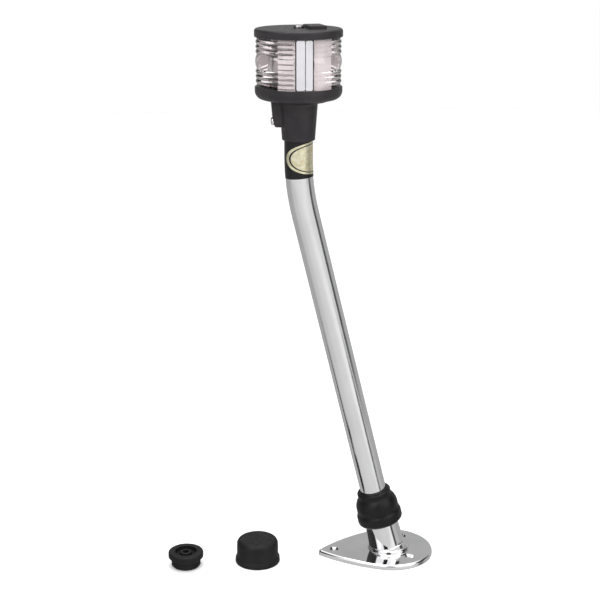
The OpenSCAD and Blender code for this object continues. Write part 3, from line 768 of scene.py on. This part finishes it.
def filament():
    """A glass bead, two support wires and a coil between them."""
    bead = lathe([(0, 470), (1.3, 470)] + arc(0.6, 472.2, 0.7, 0, 90, 5) + [(0, 472.9)], 32)
    parts = [bead]
    for side in (-1, 1):
        parts.append(turned(lathe([(0, 472.4), (0.14, 472.4), (0.14, 481.6), (0, 481.6)], 12),
                            Matrix.Translation((0, side * 1.5, 0))))
    turns, per_turn, sides = 9, 14, 6
    rings = []
    for i in range(turns * per_turn + 1):
        a = 2 * math.pi * i / per_turn
        middle = Vector((0.32 * math.cos(a), -1.5 + 3 * i / (turns * per_turn),
                         481.5 + 0.32 * math.sin(a)))
        out = Vector((math.cos(a), 0, math.sin(a)))
        rings.append([middle + 0.07 * (math.cos(t) * out + math.sin(t) * Vector((0, 1, 0)))
                      for t in (2 * math.pi * k / sides for k in range(sides))])
    parts.append(loft(rings))
    return joined(*parts)


TO_BULB = Matrix.Translation((BULB_X, 0, 0))
for end in ("fore", "aft"):
    turn = HEAD @ Matrix.Rotation(HEAD_TURN + (math.pi if end == "fore" else 0), 4, "Z")
    piece(f"strips_{end}", turned(strips(end), turn), "pole", [], STRIP)
    # The black strips in the gaps beside the lens edges are painted shade, not a real seal.
    piece(f"lens_seals_{end}", turned(lens_gap_shade(end), turn), "pole", [], SEAL)
    for label, shape, place, look, slot_name in (
            ("lens", lens(end), turn, LENS, "lens_plastic"),
            ("reflector", reflector(end), turn, WHITE, "white_plastic"),
            ("lampholder", lampholder(), turn @ TO_BULB, HOLDER, "holder_plastic"),
            ("bulb_base", bulb_base(), turn @ TO_BULB, DULL_BRASS, "brass"),
            ("bulb_glass", bulb_glass(), turn @ TO_BULB, GLASS, "bulb_glass"),
            ("filament", filament(), turn @ TO_BULB, TUNGSTEN, "filament")):
        piece(f"{label}_{end}_look", turned(shape, place), "pole", [f"{label}_{end}"], look)


def lid():
    under = LENS_TOP_Z + 1
    plate = lathe(
        [(2.05, under), (37.6, under), (37.6, LID_Z), (LID_R - 0.5, LID_Z),
         (LID_R - 0.1, LID_Z + 0.4)]
        + arc(LID_R - 2.5, LID_TOP_Z - 2.4, 2.4, 0, 90, 14)
        + [(LID_R - 3.4, LID_TOP_Z), (2.05, LID_TOP_Z)])
    pad_w, pad_d, pad_h = 15.6, 24, 2.9
    pad = slab(round_rect(pad_w, pad_d, 1.6), LID_TOP_Z - 0.5, LID_TOP_Z + pad_h, 0.5, 4)
    place = Matrix.Translation((14.2, -2, 0)) @ Matrix.Rotation(math.radians(10), 4, "Z")
    pad = turned(pad, place)
    return turned(boolean(plate, pad, "UNION"), HEAD)


def lid_screw():
    seat = LID_TOP_Z + 0.05
    head = turned(pan_head(4.5, 2.5, 1.3, True), Matrix.Translation((0, 0, seat)))
    shank = lathe([(0, 456), (1.5, 456), (2, 456.8), (2, seat), (0, seat)], 48)
    return turned(joined(head, shank), HEAD)


piece("lid_look", lid(), "lid", ["top_cap"], CHARCOAL, 30)
piece("lid_screw_look", lid_screw(), "lid_screw", ["cap_screw"], DULL_SCREW)


# ---- loose accessories ----


def beside(node):
    low, high = box_mm(node)
    return Matrix.Translation(((low.x + high.x) / 2, (low.y + high.y) / 2, 0))


def socket_plug():
    flange, body, ridge = 16.9, 14, 0.7
    section = [(0, 0), (body - 1.6, 0)]
    for k in range(3):
        section += arc(body - ridge, 1.9 + 2.7 * k, ridge, -80, 80, 8)
    section += [(body - ridge, 9)] + arc(flange - 1.2, 10.2, 1.2, -90, 0, 8)
    section += arc(flange - 1.6, 13.4, 1.6, 0, 90, 10) + [(10.6, 15)]
    section += arc(9.6, 11.8, 0.6, 0, -90, 5) + arc(6.1, 11.8, 0.6, -90, -180, 5)
    section += arc(4.9, 13.9, 0.6, 0, 90, 5) + arc(3.4, 14.1, 0.4, 90, 180, 5) + [(3, 8), (0, 8)]
    return turned(lathe(section, 120), beside("socket_plug"))


def dust_cap():
    skirt, wall, top = 21.6, 20, 23.4
    return turned(lathe(
        [(18, 0), (skirt - 0.6, 0)]
        + arc(skirt - 0.6, 0.6, 0.6, -90, 0, 6)
        + arc(skirt - 1.4, 3.8, 1.2, 0, 70, 8)
        + arc(wall + 0.9, 6.1, 0.8, -120, -180, 6)
        + arc(wall - 5, top - 5, 5, 0, 90, 18)
        + [(0, top), (0, top - 3)] + arc(16, top - 5, 2, 90, 0, 8), 120), beside("dust_cap"))


piece("socket_plug_look", socket_plug(), "socket_plug", ["socket_plug"], RUBBER)
piece("dust_cap_look", dust_cap(), "dust_cap", ["dust_cap"], RUBBER)


# ---- camera ----

camera_data = bpy.data.cameras.new("camera")
camera_data.sensor_width = 36
camera_data.lens = 80.16
camera = bpy.data.objects.new("camera", camera_data)
camera.location = (-0.2027, -1.1874, 0.6111)
look = Vector((0.0922, 0.9553, -0.2810))
camera.rotation_mode = "QUATERNION"
camera.rotation_quaternion = look.to_track_quat("-Z", "Y")
bpy.context.scene.collection.objects.link(camera)
bpy.context.scene.camera = camera


# ---- studio ----


def floor():
    bm = bmesh.new()
    reach = 3.0
    bmesh.ops.create_grid(bm, x_segments=1, y_segments=1, size=reach)
    mesh = bpy.data.meshes.new("floor")
    bm.to_mesh(mesh)
    bm.free()
    ob = bpy.data.objects.new("floor", mesh)
    bpy.context.scene.collection.objects.link(ob)
    mat, nodes, links, shader, place = new_material("pale_floor")
    shader.inputs["Base Color"].default_value = (0.95, 0.95, 0.95, 1)
    shader.inputs["Emission Color"].default_value = (1, 1, 1, 1)
    shader.inputs["Emission Strength"].default_value = 0.14
    shader.inputs["Specular IOR Level"].default_value = 0.0
    links.new(remap(nodes, links, noise(nodes, links, place, 40), 0.85, 0.95),
              shader.inputs["Roughness"])
    ob.data.materials.append(mat)
    ob.location.z = -0.0002
    ob.visible_glossy = False


def area_light(name, place, aim, size, power, shape="RECTANGLE", size_y=None):
    data = bpy.data.lights.new(name, "AREA")
    data.energy = power
    data.shape = shape
    data.size = size
    data.size_y = size_y or size
    ob = bpy.data.objects.new(name, data)
    ob.location = place
    ob.rotation_mode = "QUATERNION"
    ob.rotation_quaternion = (Vector(aim) - Vector(place)).to_track_quat("-Z", "Y")
    bpy.context.scene.collection.objects.link(ob)
    return ob


# Brightness of the studio by bearing from the front, in degrees, in rising order: from right
# under the object to its own level, then the dark and bright cards which stand higher. The
# bands are placed so that the chrome's reflections match from the camera's side.
BOTTOM_WALLS = ((-180, 0.42), (-140, 0.46), (-112, 0.50), (-106, 0.03), (-98, 0.03), (-92, 0.50),
                (-70, 0.66), (0, 0.73), (62, 0.72), (102, 0.46), (180, 0.42))
DEEP_WALLS = ((-180, 0.42), (-140, 0.44), (-110, 0.42), (-92, 0.46), (-72, 0.62), (-56, 0.60),
              (-38, 0.70), (0, 0.75), (62, 0.74), (73, 0.66), (79, 0.14), (92, 0.16),
              (99, 0.46), (180, 0.42))
LOW_WALLS = ((-180, 0.42), (-155, 0.38), (-105, 0.42), (-88, 0.50), (-68, 0.76), (-40, 0.80),
             (0, 0.84), (22, 0.92), (44, 1.0), (50, 0.94), (55, 0.08), (63, 0.08), (68, 0.52),
             (82, 0.56), (100, 0.44), (118, 0.42), (150, 0.50), (180, 0.42))
LEVEL_WALLS = ((-180, 0.42), (-100, 0.42), (-60, 0.68), (0, 0.74), (30, 0.78), (65, 0.76),
               (69, 0.70), (73, 0.07), (88, 0.09), (96, 0.44), (130, 0.44), (180, 0.42))
CARDS = ((-180, 0.46), (-166, 0.46), (-158, 0.06), (-70, 0.03), (-64, 1.2), (-24, 1.2),
         (-19, 0.02), (2, 0.02), (6, 1.25), (54, 1.2), (60, 0.05), (116, 0.05), (124, 0.44),
         (180, 0.46))


def bearing_ramp(nodes, links, share, levels):
    """A grey ramp over the whole turn."""
    ramp = nodes.new("ShaderNodeValToRGB")
    elements = ramp.color_ramp.elements
    for i, (angle, level) in enumerate(levels):
        position = (angle + 180) / 360
        if i in (0, len(levels) - 1):
            stop = elements[0 if i == 0 else -1]
            stop.position = position
        else:
            stop = elements.new(position)
        stop.color = (level, level, level, 1)
    links.new(share, ramp.inputs["Fac"])
    return ramp.outputs["Color"]


def blend(nodes, links, share, first, second):
    mix = nodes.new("ShaderNodeMix")
    mix.data_type = "RGBA"
    links.new(share, mix.inputs["Factor"])
    links.new(first, mix.inputs["A"])
    links.new(second, mix.inputs["B"])
    return mix.outputs["Result"]


def studio():
    world = bpy.data.worlds.new("studio")
    bpy.context.scene.world = world
    world.use_nodes = True
    nodes, links = world.node_tree.nodes, world.node_tree.links
    place = nodes.new("ShaderNodeTexCoord")
    split = nodes.new("ShaderNodeSeparateXYZ")
    links.new(place.outputs["Generated"], split.inputs["Vector"])
    front = nodes.new("ShaderNodeMath")
    front.operation = "MULTIPLY"
    front.inputs[1].default_value = -1
    links.new(split.outputs["Y"], front.inputs[0])
    bearing = nodes.new("ShaderNodeMath")
    bearing.operation = "ARCTAN2"
    links.new(split.outputs["X"], bearing.inputs[0])
    links.new(front.outputs[0], bearing.inputs[1])
    share = remap(nodes, links, bearing.outputs[0], 0, 1, -math.pi, math.pi)
    height = split.outputs["Z"]
    bottom = bearing_ramp(nodes, links, share, BOTTOM_WALLS)
    deep = bearing_ramp(nodes, links, share, DEEP_WALLS)
    low = bearing_ramp(nodes, links, share, LOW_WALLS)
    level = bearing_ramp(nodes, links, share, LEVEL_WALLS)
    cards = bearing_ramp(nodes, links, share, CARDS)
    ceiling = nodes.new("ShaderNodeRGB")
    ceiling.outputs[0].default_value = (1.25, 1.25, 1.26, 1)
    room = blend(nodes, links, remap(nodes, links, height, 0, 1, -0.56, -0.52), bottom, deep)
    room = blend(nodes, links, remap(nodes, links, height, 0, 1, -0.31, -0.25), room, low)
    room = blend(nodes, links, remap(nodes, links, height, 0, 1, -0.165, -0.125), room, level)
    room = blend(nodes, links, remap(nodes, links, height, 0, 1, 0.13, 0.17), room, cards)
    room = blend(nodes, links, remap(nodes, links, height, 0, 1, 0.68, 0.78), room,
                 ceiling.outputs[0])
    path = nodes.new("ShaderNodeLightPath")
    backdrop = nodes.new("ShaderNodeRGB")
    backdrop.outputs[0].default_value = (1, 1, 1, 1)
    through_lens = nodes.new("ShaderNodeRGB")
    through_lens.outputs[0].default_value = (0.42, 0.39, 0.39, 1)
    room = blend(nodes, links, path.outputs["Is Transmission Ray"], room, through_lens.outputs[0])
    seen = blend(nodes, links, path.outputs["Is Camera Ray"], room, backdrop.outputs[0])
    links.new(seen, nodes["Background"].inputs["Color"])


floor()
studio()
area_light("key", (-0.9, -1.2, 1.5), (-0.05, 0, 0.25), 1.0, 8)
area_light("fill", (1.2, -0.9, 1.0), (-0.05, 0, 0.25), 0.9, 4)
area_light("top", (0.0, 0.1, 2.2), (-0.05, 0, 0.2), 1.8, 26)
bpy.context.scene.view_settings.view_transform = "Standard"
bpy.context.scene.view_settings.look = "None"
